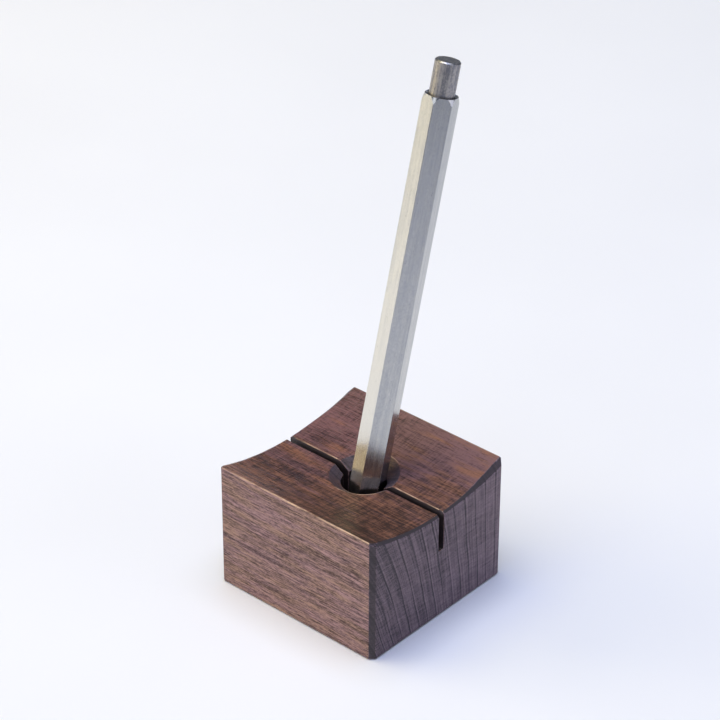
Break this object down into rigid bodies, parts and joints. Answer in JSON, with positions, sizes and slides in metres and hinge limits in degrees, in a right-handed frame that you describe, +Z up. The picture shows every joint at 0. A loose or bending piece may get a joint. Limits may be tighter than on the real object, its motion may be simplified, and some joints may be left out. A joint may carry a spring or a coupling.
{
  "type": "desk pencil stand",
  "caption": "Wooden block with a coved top, a countersunk pen hole and a saw slot, holding a hexagonal metal push pencil.",
  "frame": {"origin": "middle of the wooden block's underside", "axes": "+X along the grain and the saw slot, +Y towards the side that the pencil leans to, +Z up"},
  "size_m": [0.05, 0.0555, 0.1327],
  "materials": {
    "walnut": "oiled, satin",
    "barrel_metal": "fine lengthwise grain, satin",
    "button_metal": "lengthwise brushed",
    "sleeve_steel": "bright",
    "chuck_brass": "turned",
    "spring_steel": "drawn wire",
    "dark_plastic": "moulded",
    "tube_plastic": "moulded",
    "retainer_rubber": "moulded",
    "eraser_rubber": "matte",
    "graphite": "graphite sheen"
  },
  "bodies": {
    "stand": {"stand_block": "walnut"},
    "pencil": {"barrel": "barrel_metal", "nose_cone": "barrel_metal", "lead_sleeve": "sleeve_steel", "lead_retainer": "retainer_rubber", "chuck_guide": "dark_plastic", "chuck_spring": "spring_steel", "tube_bush": "dark_plastic"},
    "knock": {"push_button": "button_metal", "button_liner": "dark_plastic", "eraser": "eraser_rubber", "eraser_holder": "button_metal", "lead_tube": "tube_plastic", "chuck_connector": "dark_plastic", "chuck": "chuck_brass", "spare_lead_1": "graphite", "spare_lead_2": "graphite", "spare_lead_3": "graphite"},
    "feed": {"chuck_ring": "chuck_brass", "lead": "graphite"}
  },
  "joints": [
    {"name": "pencil_lift", "type": "slide", "parent": "stand", "child": "pencil", "axis": [0.0043, 0.2487, 0.9686], "range_m": [0, 0.03]},
    {"name": "button_knock", "type": "slide", "parent": "pencil", "child": "knock", "axis": [-0.0043, -0.2487, -0.9686], "range_m": [0, 0.0038], "stiffness_N_per_m": 350, "springref_m": -0.002, "deforming": ["chuck_spring"]},
    {"name": "lead_feed", "type": "slide", "parent": "pencil", "child": "feed", "axis": [-0.0043, -0.2487, -0.9686], "range_m": [0, 0.0008]}
  ],
  "couplings": [
    {"joint": "lead_feed", "follows": "button_knock", "ratio": 0.21}
  ]
}
